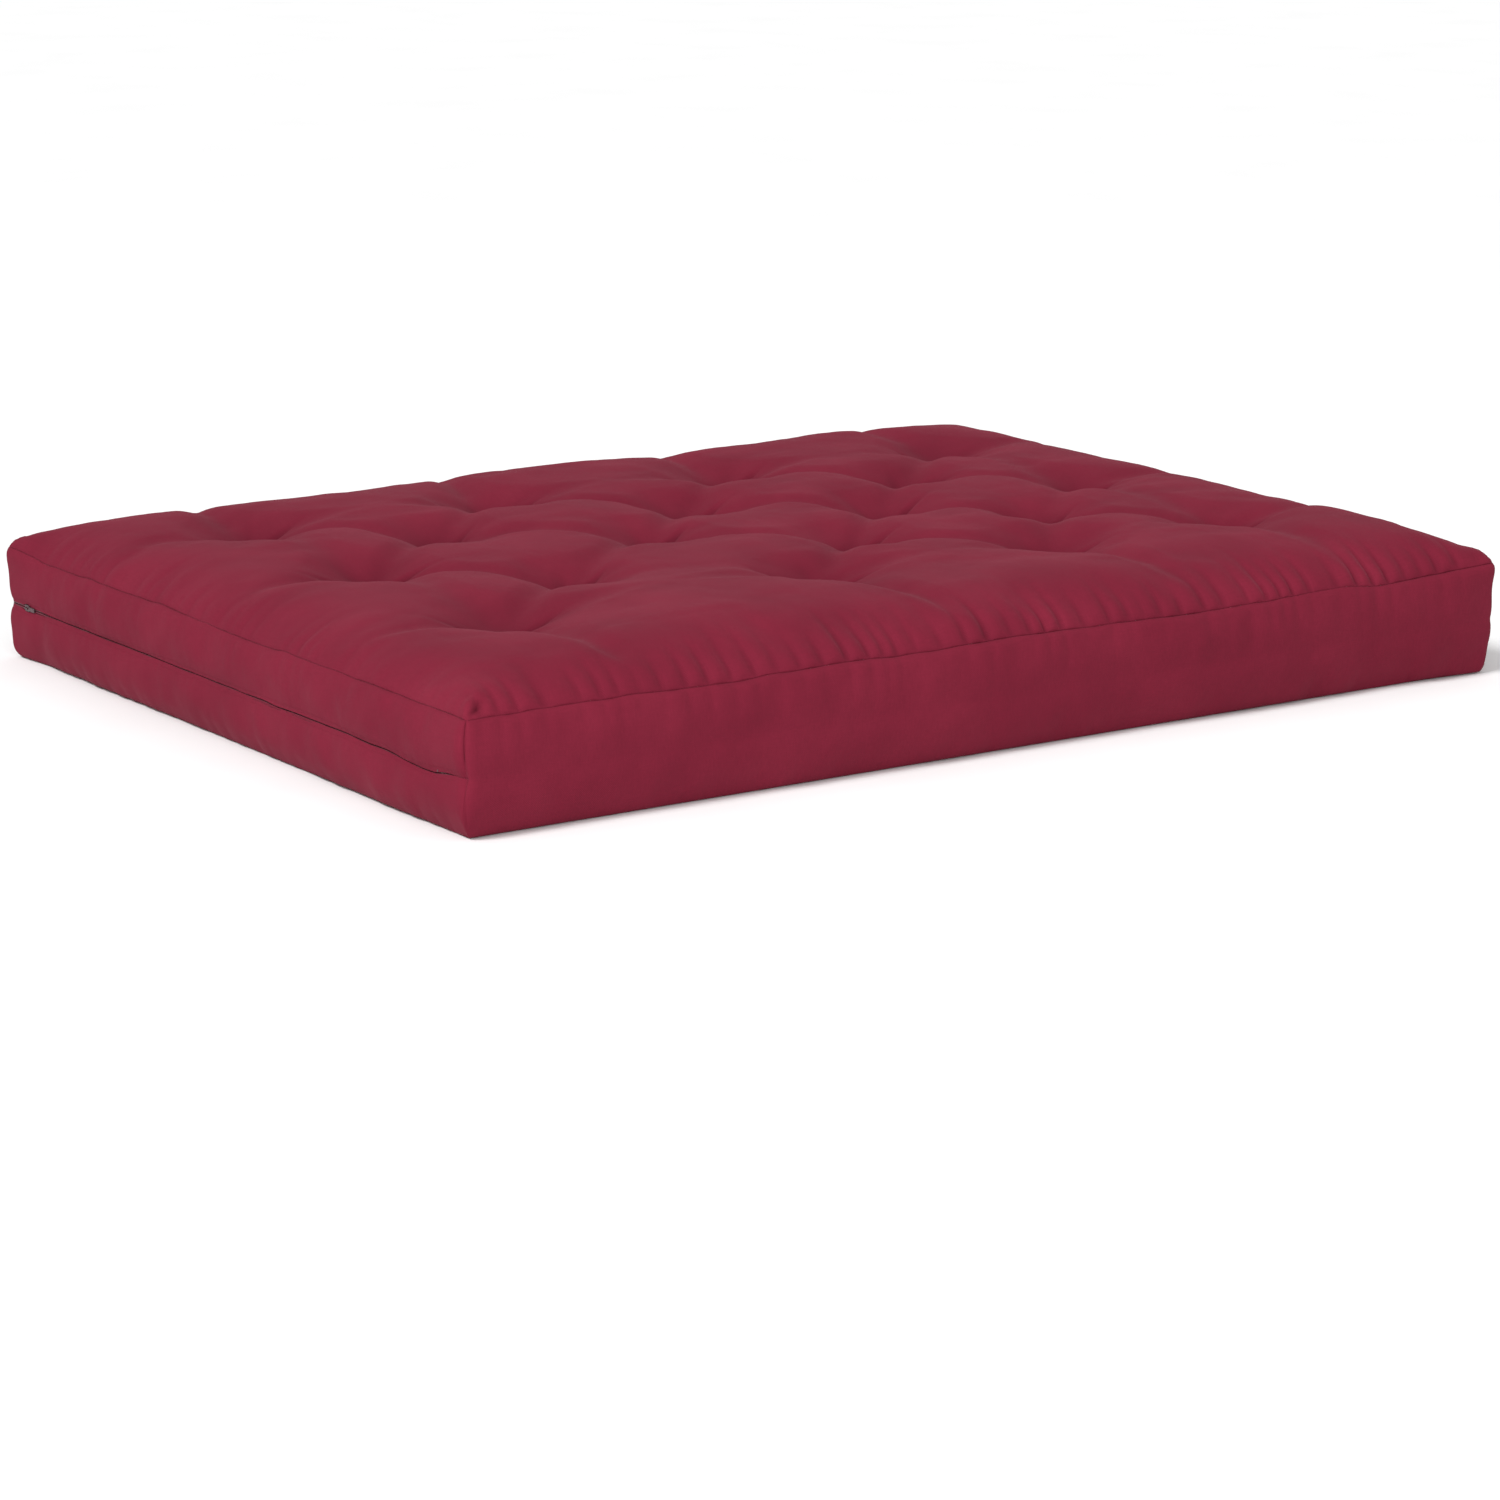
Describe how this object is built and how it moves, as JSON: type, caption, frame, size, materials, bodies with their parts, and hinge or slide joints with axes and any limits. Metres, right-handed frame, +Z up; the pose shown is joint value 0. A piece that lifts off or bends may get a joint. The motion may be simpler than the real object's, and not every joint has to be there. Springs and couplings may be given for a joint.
{
  "type": "futon mattress",
  "caption": "Full-size tufted futon mattress in a burgundy zip-off cover, lying flat, that folds at mid depth from bed to sofa.",
  "frame": {"origin": "middle of the footprint, on the underside that rests on the frame or floor", "axes": "+X along the length, -Y is the plain front edge, +Y the zipped rear edge, +Z up"},
  "size_m": [1.927, 1.3937, 0.232],
  "materials": {
    "cover_twill": "burgundy brushed twill, matt with a soft sheen",
    "cotton_ticking": "natural unbleached cotton drill",
    "cotton_batting": "carded cotton batting, matt",
    "foam": "open-cell polyurethane foam sheet, matt",
    "waxed_twine": "waxed tufting twine",
    "wool_felt": "felt tuft washer",
    "zip_tape": "woven polyester zip tape, burgundy",
    "zip_coil": "nylon zip coil, dark burgundy",
    "zip_metal": "burgundy enamelled zinc, satin"
  },
  "bodies": {
    "seat_half": {"cotton_lower_seat": "cotton_batting", "cotton_middle_seat": "cotton_batting", "cotton_upper_seat": "cotton_batting", "cover_base_seat": "cover_twill", "cover_front": "cover_twill", "cover_left_lower_seat": "cover_twill", "cover_left_upper_seat": "cover_twill", "cover_right_lower_seat": "cover_twill", "cover_right_upper_seat": "cover_twill", "cover_top_seat": "cover_twill", "foam_lower_seat": "foam", "foam_upper_seat": "foam", "ticking_base_seat": "cotton_ticking", "ticking_border_seat": "cotton_ticking", "ticking_top_seat": "cotton_ticking", "tuft_pads_base_seat": "wool_felt", "tuft_pads_top_seat": "wool_felt", "tuft_ties_seat": "waxed_twine", "zip_coil_lower_seat_left": "zip_coil", "zip_coil_lower_seat_right": "zip_coil", "zip_coil_upper_seat_left": "zip_coil", "zip_coil_upper_seat_right": "zip_coil", "zip_stop_left": "zip_metal", "zip_stop_right": "zip_metal", "zip_tape_lower_seat_left": "zip_tape", "zip_tape_lower_seat_right": "zip_tape", "zip_tape_upper_seat_left": "zip_tape", "zip_tape_upper_seat_right": "zip_tape"},
    "back_half": {"cotton_lower_back": "cotton_batting", "cotton_middle_back": "cotton_batting", "cotton_upper_back": "cotton_batting", "cover_base_back": "cover_twill", "cover_left_lower_back": "cover_twill", "cover_left_upper_back": "cover_twill", "cover_rear_lower": "cover_twill", "cover_rear_upper": "cover_twill", "cover_right_lower_back": "cover_twill", "cover_right_upper_back": "cover_twill", "cover_top_back": "cover_twill", "foam_lower_back": "foam", "foam_upper_back": "foam", "ticking_base_back": "cotton_ticking", "ticking_border_back": "cotton_ticking", "ticking_top_back": "cotton_ticking", "tuft_pads_base_back": "wool_felt", "tuft_pads_top_back": "wool_felt", "tuft_ties_back": "waxed_twine", "zip_coil_lower_back": "zip_coil", "zip_coil_upper_back": "zip_coil", "zip_tape_lower_back": "zip_tape", "zip_tape_upper_back": "zip_tape"},
    "slider_left": {"slider_left": "zip_metal"},
    "pull_left": {"pull_left": "zip_metal"},
    "slider_rear": {"slider_rear": "zip_metal"},
    "pull_rear": {"pull_rear": "zip_metal"}
  },
  "joints": [
    {"name": "fold", "type": "hinge", "parent": "seat_half", "child": "back_half", "pos_m": [0, 0, 0.232], "axis": [1, 0, 0], "range_deg": [0, 75]},
    {"name": "zip_left_run", "type": "slide", "parent": "back_half", "child": "slider_left", "axis": [0, -1, 0], "range_m": [0, 0.5]},
    {"name": "zip_rear_run", "type": "slide", "parent": "back_half", "child": "slider_rear", "axis": [1, 0, 0], "range_m": [0, 1.75]},
    {"name": "pull_left_flip", "type": "hinge", "parent": "slider_left", "child": "pull_left", "pos_m": [-0.95885, 0.623, 0.09], "axis": [0, 0, -1], "range_deg": [0, 120]},
    {"name": "pull_rear_flip", "type": "hinge", "parent": "slider_rear", "child": "pull_rear", "pos_m": [-0.8897, 0.69215, 0.09], "axis": [0, 0, 1], "range_deg": [0, 120]}
  ]
}
